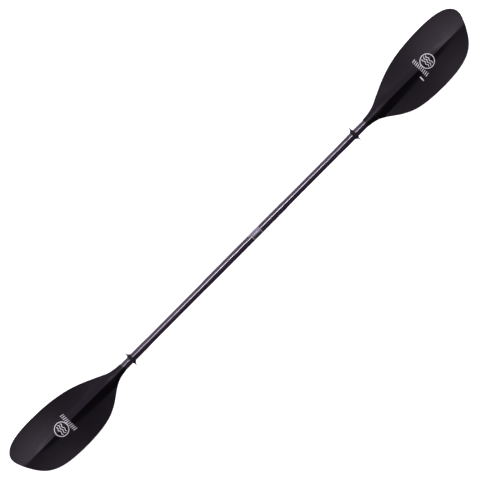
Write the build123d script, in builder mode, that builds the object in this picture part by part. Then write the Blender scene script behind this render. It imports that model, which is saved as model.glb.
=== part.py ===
"""Two-piece kayak paddle with a feather-adjustable ferrule.

Frame: +X runs along the shaft to the right blade, +Y to the long upper edge of both blades,
+Z out of the power faces. The origin is on the shaft's axis at the middle of the paddle.
Both blades are the same shape, mirrored about the middle.
"""
import os
from math import cos, degrees, pi, sin

from build123d import *

# ---- Driving dimensions, in millimetres and degrees ----

paddle_length = 2200.0
blade_length = 503.0  # from the mouth of the blade's socket to its tip
upper_half_width = 100.8  # the shaft's axis to the upper edge
lower_half_width = 104.2  # the shaft's axis to the lower edge
tip_height = 44.0  # the tip's height above the shaft's axis, across the blade
blade_thickness = 2.0
spoon_depth = 26.8  # how far the face dips below the shaft's axis
spoon_low = 0.6  # the share of the plate's length, from the shoulder, at which it lies lowest
tip_lift = 20.0  # how far the tip rises again
dihedral_slope = 0.10
cross_camber = 0.0006  # per millimetre of height across the face
spread_lead = 10.0  # before the shoulder, where the dihedral and the camber begin
spread_run = 70.0
throat_length = 63.0  # from the socket's mouth to the shoulder, where the plate begins
throat_run = 110.0  # along which the round section opens into the flat one
ridge_end = 60.0  # from the tip to where the ridge has faded
ridge_fade = 1.25
ridge_half_width = 30.0
ridge_tip_half_width = 14.0
ridge_narrowing = 400.0  # from the tip to where the ridge begins to narrow
ridge_flank = 1.6  # the flank's hollowness: 1 is straight
crest_lead = 5.0  # before the shoulder, where the ridge's crest begins to sharpen
spine_end = 200.0  # from the tip to where the spine on the back has faded
spine_fade = 1.5

shaft_radius = 14.4
shaft_wall = 1.7
grip_flattening = 0.8  # taken off each side of the shaft at the hand grips
grip_inner_end = 185.0  # from the middle
grip_setback = 107.0  # from the blade's socket to the grip
grip_blend = 25.0  # along which the shaft turns from round to oval
socket_depth = 60.0
socket_wall = 1.5

seam = 38.0  # from the middle to where the halves part
liner_margin = 10.0  # the liner's length past the spigot's end
liner_wall = 0.8
spigot_insert = 115.0
spigot_wall = 1.8
running_gap = 0.05  # between pieces that slide or turn on each other
flange_width = 1.2
collar_length = 40.0  # the seam to the start of the right tube
collar_tail = 30.0
collar_rise = 0.2  # how far the collar and its end rings stand proud of the tubes
end_ring_width = 1.2
label_depth = 0.2
label_margin = 2.0
label_low_angle = -16.0  # about the shaft, from +Z towards +Y
label_high_angle = 78.0

o_ring_section = 1.22
o_ring_setback = 12.0
o_ring_gap = 0.02  # from the liner's bore
groove_gap = 0.01
groove_width = 1.5
end_cap_thickness = 2.0
end_cap_skirt = 8.0

hub_plug_length = 15.0
hub_flange_width = 2.0
hub_flange_gap = 0.4
hub_setback = 3.7  # from the tube's bore to the notched hub
hub_length = 10.0
notch_count = 24
notch_depth = 0.7
pin_radius = 1.0
pin_inset = 0.4  # the pin's ends below the spigot's surface

detent_gap = 0.3
housing_length = 18.0
housing_back = 6.0  # the housing's solid end, where the spring is held
housing_end_wall = 1.0  # behind the spring
housing_gap = 1.0  # from the hub's flange
spring_thickness = 0.4
spring_width = 1.0
spring_depth = 1.2  # from the tube's bore to the spring
spring_headroom = 0.6
spring_end_gap = 0.2
spring_tail_gap = 0.6
spring_nose_back = 4.0  # from the hub's end to the nose that rides in a notch
spring_rise = 0.8  # from the spring's seat down to its free end
spring_bend = 1.5  # from the housing's solid end to the spring's first bend

button_radius = 3.2
button_gap = 0.1
button_proud = 0.1  # low enough for a clip or a ring to slide over
button_rounding = 1.5
button_setback = 45.0
button_strip = 0.5
button_strip_width = 6.0
button_strip_tail = 1.6  # past the stud
button_spring_length = 30.0

mark_length = 8.0
mark_width = 1.6
mark_setback = 1.0
mark_angle = 45.0

foam_length = 25.0
foam_gap = 10.0

left_ring_setback = 39.0  # from the blade's socket to the ring's lip
right_ring_setback = 53.0
ring_height = 15.1  # the lip's height above the shaft
ring_lip = 1.6
ring_hub_wall = 2.4
ring_centre_reach = 9.5  # the lip to the hub's end on the side of the hands
ring_blade_reach = 4.0

# ---- What follows from them ----

half_length = paddle_length / 2
mouth = half_length - blade_length
shoulder = blade_length - throat_length
half_thickness = blade_thickness / 2
grip_radius = shaft_radius - grip_flattening
grip_outer_end = mouth - grip_setback
liner_length = spigot_insert + liner_margin
left_ring_place = mouth - left_ring_setback
right_ring_place = mouth - right_ring_setback
ring_radius = shaft_radius + ring_height
ring_hub_radius = shaft_radius + ring_hub_wall
tube_end = mouth + socket_depth
bore_radius = shaft_radius - shaft_wall
liner_bore = bore_radius - liner_wall
hub_radius = bore_radius - hub_setback
spigot_radius = liner_bore - running_gap
spigot_bore = spigot_radius - spigot_wall
socket_radius = shaft_radius + socket_wall
collar_radius = shaft_radius + collar_rise
spigot_start = seam - spigot_insert
right_tube_start = seam + collar_length
collar_end = right_tube_start + collar_tail
button_x = seam - button_setback
groove_x = seam - o_ring_setback
o_ring_radius = liner_bore - o_ring_gap - o_ring_section / 2
groove_bottom = o_ring_radius - o_ring_section / 2 - groove_gap
hub_plug_start = collar_end - hub_plug_length
hub_start = collar_end + running_gap
hub_notch_start = hub_start + hub_flange_width
collar_start = seam + flange_width + running_gap
collar_body_end = right_tube_start - end_ring_width
label_start = collar_start + label_margin
label_length = collar_body_end - label_margin - label_start
housing_start = hub_notch_start + housing_gap
housing_bore = hub_radius + detent_gap
housing_wall_start = housing_start + housing_length - housing_back
spring_seat = bore_radius - spring_depth
slot_width = spring_width + 2 * running_gap
slot_top = spring_seat + spring_headroom

os.makedirs("parts", exist_ok=True)


def across(x):
    """The plane across the shaft at x, with its own x along +Y and its own y along +Z."""
    return Plane(origin=(x, 0, 0), x_dir=(0, 1, 0), z_dir=(1, 0, 0))


def disc(x, radius, bore=0.0):
    """A flat disc across the shaft at x, or a ring if it has a bore."""
    with BuildSketch(across(x)) as profile:
        Circle(radius)
        if bore:
            Circle(bore, mode=Mode.SUBTRACT)
    return profile.sketch


def finish(builder, name):
    """Labels a finished piece and writes it."""
    builder.part.label = name
    export_step(builder.part, f"parts/{name}.step")


def ease(value):
    """Runs smoothly from 0 to 1."""
    v = min(max(value, 0.0), 1.0)
    return v * v * (3 - 2 * v)


# ---- Blade outline: distance from the tip as a share of the blade. In the throat the second
# number is the height above the socket's wall, and on the plate a share of the half width ----

upper_throat = [(0.934, 3.45), (0.904, 6.68)]
upper_edge = [
    (0.875, 0.280), (0.795, 0.464), (0.636, 0.778), (0.477, 0.942), (0.318, 0.998),
    (0.199, 0.989), (0.109, 0.925), (0.040, 0.781), (0.008, 0.604),
]
lower_throat = [(0.964, 1.92), (0.934, 5.36), (0.904, 11.19)]
lower_edge = [
    (0.875, 0.338), (0.795, 0.604), (0.716, 0.810), (0.636, 0.923), (0.557, 0.975),
    (0.437, 1.000), (0.318, 0.977), (0.239, 0.919), (0.169, 0.803), (0.109, 0.608),
    (0.060, 0.308), (0.020, -0.067),
]


def outline_points(shares, half_width, side):
    """Points of one edge, as (distance from the tip, height)."""
    return [Vector(u * blade_length, side * w * half_width) for u, w in shares]


def edge_curve(throat, edge, half_width, side):
    """One edge of the blade from the socket's mouth to the tip."""
    start = Vector(blade_length, side * socket_radius)
    neck = [Vector(u * blade_length, side * (socket_radius + rise)) for u, rise in throat]
    middle = neck + outline_points(edge, half_width, side)
    tip = Vector(0, tip_height)
    tangents = [Vector(-1, 0), Vector(0, -side)]
    return Edge.make_spline([start, *middle, tip], tangents=tangents)


upper_curve = edge_curve(upper_throat, upper_edge, upper_half_width, 1)
lower_curve = edge_curve(lower_throat, lower_edge, lower_half_width, -1)


def place_on(curve, s):
    """The place along an edge at the distance s from the tip, found by halving."""
    low, high = 0.0, 0.85
    for _ in range(40):
        middle = (low + high) / 2
        if curve.position_at(middle).X > s:
            low = middle
        else:
            high = middle
    return low


def edge_height(curve, s):
    """How far an edge is from the shaft's axis at the distance s from the tip."""
    return abs(curve.position_at(place_on(curve, s)).Y)


def cut_side(edge, curve, half_width, side):
    """The outline from the shoulder to the tip, and the line that leads it clear of the throat."""
    points = outline_points(edge, half_width, side)
    tangents = [curve.tangent_at(place_on(curve, points[0].X)), Vector(0, -side)]
    run = Edge.make_spline([*points, Vector(0, tip_height)], tangents=tangents)
    clear = Vector(throat_clearance, side * throat_clearance * throat_flare)
    away = points[0] + clear
    far = Vector(blade_length + throat_clearance, away.Y)
    return [run, Edge.make_line(points[0], away), Edge.make_line(away, far)], far


# ---- Blade surfaces: the sections run past the outline, which then trims them ----

margin_start = 5.0  # before the shoulder, where the sections begin to pass the outline
margin_slope = 0.3
margin_most = 10.0
tip_margin_from = 150.0  # from the tip, where the sections stop narrowing
throat_clearance = 25.0
throat_flare = 0.6
cut_depth = 60.0
section_steps = 9
section_crowding = 1.6  # how much closer a section's points stand near its middle
throat_stations = (0, 11, 25, 39, 53)  # millimetres from the socket's mouth
plate_stations = (  # shares of the plate's length, from the shoulder past the tip
    0.01, 0.045, 0.09, 0.15, 0.22, 0.3, 0.39, 0.48, 0.57, 0.66, 0.75, 0.84, 0.93, 1.02,
)


def spoon(s):
    """The height of the face's middle at the distance s from the tip."""
    run = (shoulder - s) / shoulder
    if run <= 0:
        return 0.0
    if run < spoon_low:
        return -spoon_depth * (1 - cos(pi * run / spoon_low)) / 2
    return -spoon_depth + tip_lift * ((run - spoon_low) / (1 - spoon_low)) ** 2


def plate(s, y):
    """The middle of the plate's thickness."""
    spread = ease((shoulder + spread_lead - s) / spread_run)
    return spoon(s) + spread * (cross_camber * y * y - dihedral_slope * abs(y))


def fade(s, end, power):
    """A bump's share of its full height, gone at the distance end from the tip."""
    run = (s - end) / (shoulder - end)
    return min(max(run, 0.0), 1.0) ** power


def bump(s, y, half_width, end, power, sharp):
    """The rise of the ridge or the spine, round at the socket and sharper on the plate."""
    narrowing = ease((ridge_narrowing - s) / (ridge_narrowing - ridge_end))
    reach = ridge_half_width - (ridge_half_width - ridge_tip_half_width) * narrowing
    share = min(abs(y) / min(reach, half_width), 1.0)
    power_round = 0.5 + ease((blade_length - s) / throat_run)
    crest = sharp * ease((shoulder + crest_lead - s) / throat_run)
    shape = (1 - crest) * (1 - share * share) ** power_round + crest * (1 - share) ** ridge_flank
    return (socket_radius - half_thickness) * fade(s, end, power) * shape


def half_width_at(s, curve):
    """The section's half width: the outline in the throat, and beyond it on the plate."""
    margin = min(max(margin_slope * (shoulder + margin_start - s), 0.0), margin_most)
    return edge_height(curve, max(s, tip_margin_from)) + margin


def section_point(s, tau, half_width, side, face):
    """A point of the section, tau from 0 at the middle to 1 at the edge; face is 1 or -1."""
    spread = ease((blade_length - s) / throat_run)
    share = (1 - spread) * sin(pi / 2 * tau) + spread * tau**section_crowding
    y = share * half_width
    if face > 0:
        rise = bump(s, y, half_width, ridge_end, ridge_fade, 1.0)
    else:
        rise = bump(s, y, half_width, spine_end, spine_fade, 0.0)
    return Vector(side * y, plate(s, y) + face * (half_thickness + rise))


def half_curve(s, half_width, side, face):
    """One face's half section, from the middle to the edge, as a spline."""
    shares = [i / section_steps for i in range(section_steps + 1)]
    points = [section_point(s, tau, half_width, side, face) for tau in shares]
    step = 0.001
    start = section_point(s, step, half_width, side, face) - points[0]
    end = points[-1] - section_point(s, 1 - step, half_width, side, face)
    return Edge.make_spline(points, tangents=[start.normalized(), end.normalized()])


def blade_section(s):
    """The blade's closed section at the distance s from the tip."""
    up, down = half_width_at(s, upper_curve), half_width_at(s, lower_curve)
    top_up, top_down = half_curve(s, up, 1, 1), half_curve(s, down, -1, 1)
    low_up, low_down = half_curve(s, up, 1, -1), half_curve(s, down, -1, -1)
    sides = [Edge.make_line(top_up @ 1, low_up @ 1), Edge.make_line(top_down @ 1, low_down @ 1)]
    return Wire([top_up, sides[0], low_up, low_down, sides[1], top_down])


def blade_stations():
    """Where the sections stand, from the mouth past the tip, closer together in the throat."""
    return [blade_length - t for t in throat_stations] + [
        shoulder * (1 - p) for p in plate_stations
    ]


with BuildPart() as left_blade:
    for s in blade_stations():
        with BuildSketch(across(s - half_length)):
            make_face(blade_section(s).edges())
    loft()
    upper_side, upper_far = cut_side(upper_edge, upper_curve, upper_half_width, 1)
    lower_side, lower_far = cut_side(lower_edge, lower_curve, lower_half_width, -1)
    with BuildSketch(Plane.XY.offset(-cut_depth).shift_origin((-half_length, 0, -cut_depth))):
        make_face([*upper_side, *lower_side, Edge.make_line(upper_far, lower_far)])
    extrude(amount=2 * cut_depth, mode=Mode.INTERSECT)
    extrude(disc(-mouth, shaft_radius), amount=-socket_depth, mode=Mode.SUBTRACT)
finish(left_blade, "left_blade")

with BuildPart() as right_blade:
    mirror(left_blade.part, about=Plane.YZ)
finish(right_blade, "right_blade")

# ---- Shaft tubes ----


def oval(x):
    """The flattened section of a hand grip at x."""
    with BuildSketch(across(x)) as profile:
        Ellipse(grip_radius, shaft_radius)
    return profile.sketch


def tube(start, hand, end):
    """A tube from the ferrule to the blade, hand 1 to the right and -1 to the left."""
    round_in, round_out = hand * grip_inner_end, hand * grip_outer_end
    flat_in, flat_out = round_in + hand * grip_blend, round_out - hand * grip_blend
    extrude(disc(start, shaft_radius), amount=round_in - start)
    loft([disc(round_in, shaft_radius), oval(flat_in)])
    extrude(oval(flat_in), amount=flat_out - flat_in)
    loft([oval(flat_out), disc(round_out, shaft_radius)])
    extrude(disc(round_out, shaft_radius), amount=hand * end - round_out)
    extrude(disc(start, bore_radius), amount=hand * end - start, mode=Mode.SUBTRACT)


button_hole = Plane(origin=(button_x, 0, 0), x_dir=(1, 0, 0), z_dir=(0, 0, -1))


def band(radius, depth, length, low, high, x):
    """A strip of a ring about the shaft: low and high are angles from +Z towards +Y."""
    with BuildSketch(across(x)) as profile:
        with BuildLine():
            outer = CenterArc((0, 0), radius, 90 - high, high - low)
            inner = CenterArc((0, 0), radius - depth, 90 - high, high - low)
            Line(outer @ 0, inner @ 0)
            Line(outer @ 1, inner @ 1)
        make_face()
    extrude(profile.sketch, amount=length)


half_mark_turn = degrees(mark_width / 2 / shaft_radius)
mark_low_angle = mark_angle - half_mark_turn
mark_high_angle = mark_angle + half_mark_turn
mark_start = seam - mark_setback - mark_length

with BuildPart() as index_mark:
    band(shaft_radius, label_depth, mark_length, mark_low_angle, mark_high_angle, mark_start)
finish(index_mark, "index_mark")

with BuildPart() as left_shaft_tube:
    tube(seam, -1, tube_end)
    with BuildSketch(button_hole):
        Circle(button_radius + button_gap)
    extrude(amount=socket_radius, mode=Mode.SUBTRACT)
    add(index_mark.part, mode=Mode.SUBTRACT)
finish(left_shaft_tube, "left_shaft_tube")

with BuildPart() as right_shaft_tube:
    tube(right_tube_start, 1, tube_end)
finish(right_shaft_tube, "right_shaft_tube")

with BuildPart() as ferrule_liner:
    extrude(disc(seam, bore_radius, liner_bore), amount=-liner_length)
    with BuildSketch(button_hole):
        Circle(button_radius + button_gap)
    extrude(amount=shaft_radius, mode=Mode.SUBTRACT)
finish(ferrule_liner, "ferrule_liner")


def plug(x):
    """A round foam plug in the tube, from x towards the right."""
    extrude(disc(x, bore_radius), amount=foam_length)


with BuildPart() as left_bulkhead_plug:
    plug(seam - liner_length - foam_gap - foam_length)
finish(left_bulkhead_plug, "left_bulkhead_plug")

with BuildPart() as left_socket_plug:
    plug(-tube_end)
finish(left_socket_plug, "left_socket_plug")

with BuildPart() as right_socket_plug:
    plug(tube_end - foam_length)
finish(right_socket_plug, "right_socket_plug")

# ---- Spigot ----

pin_hole = Plane(origin=(collar_end - hub_plug_length / 2, 0, 0))

with BuildPart() as spigot_tube:
    extrude(disc(spigot_start, spigot_radius, spigot_bore), amount=collar_end - spigot_start)
    groove = disc(groove_x - groove_width / 2, shaft_radius, groove_bottom)
    extrude(groove, amount=groove_width, mode=Mode.SUBTRACT)
    with BuildSketch(button_hole):
        Circle(button_radius + button_gap)
    extrude(amount=shaft_radius, mode=Mode.SUBTRACT)
    with BuildSketch(pin_hole):
        Circle(pin_radius)
    extrude(amount=shaft_radius, both=True, mode=Mode.SUBTRACT)
finish(spigot_tube, "spigot_tube")

with BuildPart() as spigot_end_cap:
    extrude(disc(spigot_start, spigot_radius), amount=-end_cap_thickness)
    chamfer(spigot_end_cap.edges().sort_by(Axis.X)[0], end_cap_thickness / 2)
    extrude(disc(spigot_start, spigot_bore, spigot_bore - end_cap_thickness), amount=end_cap_skirt)
finish(spigot_end_cap, "spigot_end_cap")

with BuildPart() as spigot_o_ring:
    with BuildSketch(Plane.XZ):
        with Locations((groove_x, o_ring_radius)):
            Circle(o_ring_section / 2)
    revolve(axis=Axis.X)
finish(spigot_o_ring, "spigot_o_ring")

with BuildPart() as spigot_flange:
    extrude(disc(seam, collar_radius, spigot_radius), amount=flange_width)
finish(spigot_flange, "spigot_flange")

with BuildPart() as index_hub:
    extrude(disc(hub_plug_start, spigot_bore), amount=hub_plug_length + running_gap)
    extrude(disc(hub_start, bore_radius - hub_flange_gap), amount=hub_flange_width)
    with BuildSketch(across(hub_notch_start)):
        Circle(hub_radius)
        with PolarLocations(hub_radius, notch_count):
            Circle(notch_depth, mode=Mode.SUBTRACT)
    extrude(amount=hub_length)
    with BuildSketch(pin_hole):
        Circle(pin_radius)
    extrude(amount=shaft_radius, both=True, mode=Mode.SUBTRACT)
finish(index_hub, "index_hub")

with BuildPart() as index_pin:
    with BuildSketch(pin_hole):
        Circle(pin_radius)
    extrude(amount=spigot_radius - pin_inset, both=True)
finish(index_pin, "index_pin")

# The strip lies along both sides of the spigot's bore and turns back in a bow. The stud
# stands on its lower leg.
strip_height = (spigot_bore**2 - (button_strip_width / 2) ** 2) ** 0.5 - running_gap
strip_line = strip_height - button_strip / 2
strip_start = button_x - button_radius - button_strip_tail
bow_x = button_x + button_spring_length

with BuildPart() as snap_button:
    with BuildSketch(Plane.XZ.offset(-button_strip_width / 2)):
        with BuildLine():
            low = Line((strip_start, -strip_line), (bow_x, -strip_line))
            bow = ThreePointArc(low @ 1, (bow_x + strip_line, 0), (bow_x, strip_line))
            Line(bow @ 1, (strip_start, strip_line))
            offset(amount=button_strip / 2, side=Side.BOTH, kind=Kind.INTERSECTION)
        make_face()
    extrude(amount=button_strip_width)
    with BuildSketch(button_hole.offset(strip_height - button_strip)):
        Circle(button_radius)
    extrude(amount=shaft_radius + button_proud - strip_height + button_strip)
    fillet(snap_button.edges().sort_by(Axis.Z)[0], button_rounding)
finish(snap_button, "snap_button")

# ---- Right half's ferrule ----

with BuildPart() as scale_label:
    band(collar_radius, label_depth, label_length, label_low_angle, label_high_angle, label_start)
finish(scale_label, "scale_label")

with BuildPart() as index_collar:
    extrude(disc(collar_start, collar_radius, liner_bore), amount=collar_body_end - collar_start)
    extrude(disc(collar_body_end, bore_radius, liner_bore), amount=collar_end - collar_body_end)
    add(scale_label.part, mode=Mode.SUBTRACT)
finish(index_collar, "index_collar")

with BuildPart() as collar_end_ring:
    extrude(disc(collar_body_end, collar_radius, bore_radius), amount=end_ring_width)
finish(collar_end_ring, "collar_end_ring")

housing_hollow = housing_length - housing_back
spring_slot = spring_thickness + 2 * running_gap
spring_slot_length = housing_back - housing_end_wall

with BuildPart() as detent_housing:
    extrude(disc(housing_start, bore_radius), amount=housing_length)
    extrude(disc(housing_start, housing_bore), amount=housing_hollow, mode=Mode.SUBTRACT)
    with BuildSketch(Plane.XY.offset(-slot_width / 2)):
        with Locations((housing_start, slot_top)):
            Rectangle(housing_hollow, 2 * slot_top, align=(Align.MIN, Align.MAX))
        with Locations((housing_wall_start, spring_seat)):
            Rectangle(spring_slot_length, spring_slot, align=(Align.MIN, Align.CENTER))
    extrude(amount=slot_width, mode=Mode.SUBTRACT)
finish(detent_housing, "detent_housing")

with BuildPart() as detent_spring:
    with BuildSketch(Plane.XY.offset(-spring_width / 2)):
        with BuildLine():
            Polyline(
                (housing_wall_start + spring_slot_length - spring_end_gap, spring_seat),
                (housing_wall_start - spring_bend, spring_seat),
                (hub_notch_start + hub_length - spring_nose_back, hub_radius + running_gap),
                (housing_start + spring_tail_gap, spring_seat - spring_rise),
            )
        trace(line_width=spring_thickness)
    extrude(amount=spring_width)
finish(detent_spring, "detent_spring")

with BuildPart() as right_bulkhead_plug:
    plug(housing_start + housing_length + foam_gap)
finish(right_bulkhead_plug, "right_bulkhead_plug")

# ---- Drip rings ----


def drip_ring(lip_x, hand):
    """A rubber ring on the shaft: a thin lip with hollow flanks, nearer the hub's blade end."""
    bore = shaft_radius + running_gap
    inner = lip_x - hand * ring_centre_reach
    outer = lip_x + hand * ring_blade_reach
    half_lip = hand * ring_lip / 2
    with BuildSketch(Plane.XY) as profile:
        with BuildLine():
            base = Line((outer, bore), (inner, bore))
            hub_in = Line(base @ 1, (inner, ring_hub_radius))
            sweep_in = Spline(hub_in @ 1, (lip_x - half_lip, ring_radius - ring_lip / 2),
                              tangents=((hand, 0.25), (hand * 0.12, 1)))
            lip = ThreePointArc(sweep_in @ 1, (lip_x, ring_radius),
                                (lip_x + half_lip, ring_radius - ring_lip / 2))
            sweep_out = Spline(lip @ 1, (outer, ring_hub_radius),
                               tangents=((hand * 0.12, -1), (hand, -0.3)))
            Line(sweep_out @ 1, base @ 0)
        make_face()
    revolve(profile.sketch, axis=Axis.X)


with BuildPart() as left_drip_ring:
    drip_ring(-left_ring_place, -1)
finish(left_drip_ring, "left_drip_ring")

with BuildPart() as right_drip_ring:
    drip_ring(right_ring_place, 1)
finish(right_drip_ring, "right_drip_ring")
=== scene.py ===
from math import atan2, cos, degrees, pi, radians, sin, sqrt

import bmesh
import bpy
import numpy as np
from mathutils import Euler, Matrix, Vector
from mathutils.kdtree import KDTree

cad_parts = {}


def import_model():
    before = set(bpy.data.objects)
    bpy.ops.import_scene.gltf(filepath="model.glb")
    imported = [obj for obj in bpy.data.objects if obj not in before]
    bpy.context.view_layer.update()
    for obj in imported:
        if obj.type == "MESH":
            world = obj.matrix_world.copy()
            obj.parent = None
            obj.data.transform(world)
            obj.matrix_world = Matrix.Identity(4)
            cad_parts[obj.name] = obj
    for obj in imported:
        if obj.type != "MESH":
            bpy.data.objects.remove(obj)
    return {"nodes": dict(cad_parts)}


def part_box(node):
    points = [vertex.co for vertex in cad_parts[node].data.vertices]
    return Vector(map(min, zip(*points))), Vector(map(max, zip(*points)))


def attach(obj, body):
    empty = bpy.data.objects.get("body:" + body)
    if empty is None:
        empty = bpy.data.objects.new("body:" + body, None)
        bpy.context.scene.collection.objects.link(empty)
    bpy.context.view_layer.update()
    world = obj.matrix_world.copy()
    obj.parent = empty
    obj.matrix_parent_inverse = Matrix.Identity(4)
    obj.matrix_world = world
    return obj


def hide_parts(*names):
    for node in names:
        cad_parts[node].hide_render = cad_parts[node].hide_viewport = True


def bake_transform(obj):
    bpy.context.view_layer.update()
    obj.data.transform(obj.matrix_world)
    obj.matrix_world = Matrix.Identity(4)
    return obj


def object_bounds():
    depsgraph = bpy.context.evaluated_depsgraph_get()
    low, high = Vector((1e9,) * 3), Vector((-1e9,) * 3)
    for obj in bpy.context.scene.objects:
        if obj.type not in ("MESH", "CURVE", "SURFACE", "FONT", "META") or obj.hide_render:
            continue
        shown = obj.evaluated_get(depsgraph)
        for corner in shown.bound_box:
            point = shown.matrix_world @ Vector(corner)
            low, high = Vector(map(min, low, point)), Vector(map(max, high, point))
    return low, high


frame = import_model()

cad_low, cad_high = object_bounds()
MM = 0.001  # the shapes below are worked out in millimetres

# ---- Sizes read from the frame, in millimetres ----


def span(node, axis=0):
    """A CAD node's lowest and highest coordinate along one axis."""
    low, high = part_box(node)
    return low[axis] / MM, high[axis] / MM


mouth, tip = span("right_blade")
blade_length = tip - mouth
seam = span("left_shaft_tube")[1]
right_tube_start, tube_end = span("right_shaft_tube")
shaft_radius = span("left_shaft_tube", 2)[1]
collar_start, collar_tail_end = span("index_collar")
collar_end = span("collar_end_ring")[0]
collar_radius = span("index_collar", 2)[1]
button_start, bow_end = span("snap_button")
stud_top, leg_height = span("snap_button", 2)

# ---- Sizes of the blades. Distances along a blade are taken from its tip ----

SLIDING_GAP = 0.05  # between the shaft and what is slid over it
SOCKET_WALL = 1.5
SOCKET_DEPTH = 12.0
SOCKET_LIP_DROP = 0.5
SOCKET_LIP_EASING = 0.15
THROAT_LENGTH = 63.0
THROAT_BLEND = 110.0  # the run over which the round socket becomes the plate's ridge
UPPER_HALF_WIDTH = 100.8
LOWER_HALF_WIDTH = 104.2
TIP_HEIGHT = 44.0
HALF_THICKNESS = 1.0
SPOON_DEPTH = 26.8
SPOON_LOW = 0.6  # where the spoon is lowest, as a share of the way from shoulder to tip
TIP_LIFT = 20.0
DIHEDRAL_SLOPE = 0.10
DIHEDRAL_LEAD = 10.0  # how far before the shoulder the faces start to fall away
DIHEDRAL_BLEND = 70.0
CROSS_CAMBER = 0.0006  # per millimetre
CREST_ROUNDING = 1.2
CREST_LEAD = 5.0
CREST_POWER = 1.6
RIDGE_END = 60.0
RIDGE_FADE_POWER = 1.25
RIDGE_HALF_WIDTH = 30.0
RIDGE_TIP_HALF_WIDTH = 14.0
RIDGE_NARROWING_START = 400.0
SPINE_END = 200.0
SPINE_FADE_POWER = 1.5

socket_radius = shaft_radius + SOCKET_WALL
shoulder = blade_length - THROAT_LENGTH

# The blade's outline: distance from the tip as a share of the blade, then the height above the
# socket's wall in the throat, and a share of the half width on the plate.
UPPER_THROAT = [(0.934, 3.45), (0.904, 6.68)]
UPPER_EDGE = [
    (0.875, 0.280), (0.795, 0.464), (0.636, 0.778), (0.477, 0.942), (0.318, 0.998),
    (0.199, 0.989), (0.109, 0.925), (0.040, 0.781), (0.008, 0.604),
]
LOWER_THROAT = [(0.964, 1.92), (0.934, 5.36), (0.904, 11.19)]
LOWER_EDGE = [
    (0.875, 0.338), (0.795, 0.604), (0.716, 0.810), (0.636, 0.923), (0.557, 0.975),
    (0.437, 1.000), (0.318, 0.977), (0.239, 0.919), (0.169, 0.803), (0.109, 0.608),
    (0.060, 0.308), (0.020, -0.067),
]


def spline(points, start, end, steps=40):
    """A smooth cubic curve through points, with the directions start and end at its ends."""
    p = np.array(points, float)
    t = np.concatenate([[0], np.cumsum(np.linalg.norm(np.diff(p, axis=0), axis=1))])
    n, h = len(p), np.diff(t)
    system, right = np.zeros((n, n)), np.zeros((n, 2))
    system[0, 0] = system[-1, -1] = 1
    right[0], right[-1] = start, end
    for i in range(1, n - 1):
        system[i, i - 1 : i + 2] = h[i], 2 * (h[i - 1] + h[i]), h[i - 1]
        slopes = (p[i] - p[i - 1]) / h[i - 1] * h[i] + (p[i + 1] - p[i]) / h[i] * h[i - 1]
        right[i] = 3 * slopes
    m = np.linalg.solve(system, right)
    curve = []
    for i in range(n - 1):
        for u in np.linspace(0, 1, steps, endpoint=False):
            near = 2 * u**3 - 3 * u**2 + 1
            leaving, arriving = u**3 - 2 * u**2 + u, u**3 - u**2
            bend = leaving * h[i] * m[i] + arriving * h[i] * m[i + 1]
            curve.append(near * p[i] + (1 - near) * p[i + 1] + bend)
    return np.array([*curve, p[-1]])


def edge_line(throat, edge, half_width, side):
    """One edge from the socket's mouth to the tip, as (distance from the tip, height)."""
    neck = [(u * blade_length, side * (socket_radius + rise)) for u, rise in throat]
    plate_edge = [(u * blade_length, side * w * half_width) for u, w in edge]
    points = [(blade_length, side * socket_radius), *neck, *plate_edge, (0.0, TIP_HEIGHT)]
    return spline(points, (-1, 0), (0, -side))


upper_line = edge_line(UPPER_THROAT, UPPER_EDGE, UPPER_HALF_WIDTH, 1)
lower_line = edge_line(LOWER_THROAT, LOWER_EDGE, LOWER_HALF_WIDTH, -1)


def height_on(line, s):
    """An edge's height at the distance s from the tip."""
    return np.interp(s, line[::-1, 0], line[::-1, 1])


def ease(value):
    """A smooth step from 0 to 1 as the value goes from 0 to 1."""
    v = np.clip(value, 0, 1)
    return v * v * (3 - 2 * v)


# ---- Blade surfaces ----


def spoon(s):
    """The height of the face's middle."""
    run = (shoulder - s) / shoulder
    falling = -SPOON_DEPTH * (1 - np.cos(pi * np.clip(run, 0, SPOON_LOW) / SPOON_LOW)) / 2
    rising = TIP_LIFT * (np.clip(run - SPOON_LOW, 0, 1) / (1 - SPOON_LOW)) ** 2
    return falling + rising


def off_crest(y):
    """The distance from the crest, with the crest itself slightly rounded."""
    return np.sqrt(y * y + CREST_ROUNDING**2) - CREST_ROUNDING


def plate(s, y):
    """The height of the plate's middle layer: the spoon, its dihedral and its camber."""
    spread = ease((shoulder + DIHEDRAL_LEAD - s) / DIHEDRAL_BLEND)
    return spoon(s) + spread * (CROSS_CAMBER * y * y - DIHEDRAL_SLOPE * off_crest(y))


def bump(s, y, half_width, end, fade_power, sharp):
    """The rise of the ridge or the spine, round at the socket and sharper on the plate."""
    narrowing = ease((RIDGE_NARROWING_START - s) / (RIDGE_NARROWING_START - RIDGE_END))
    reach = RIDGE_HALF_WIDTH - (RIDGE_HALF_WIDTH - RIDGE_TIP_HALF_WIDTH) * narrowing
    reach = np.minimum(reach, half_width)
    share = np.clip(np.abs(y) / reach, 0, 1)
    soft_share = np.clip(off_crest(y) / reach, 0, 1)
    round_power = 0.5 + ease((blade_length - s) / THROAT_BLEND)
    crest = sharp * ease((shoulder + CREST_LEAD - s) / THROAT_BLEND)
    shape = (1 - crest) * (1 - share**2) ** round_power + crest * (1 - soft_share) ** CREST_POWER
    fade = np.clip((s - end) / (shoulder - end), 0, 1) ** fade_power
    return (socket_radius - HALF_THICKNESS) * fade * shape


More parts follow.
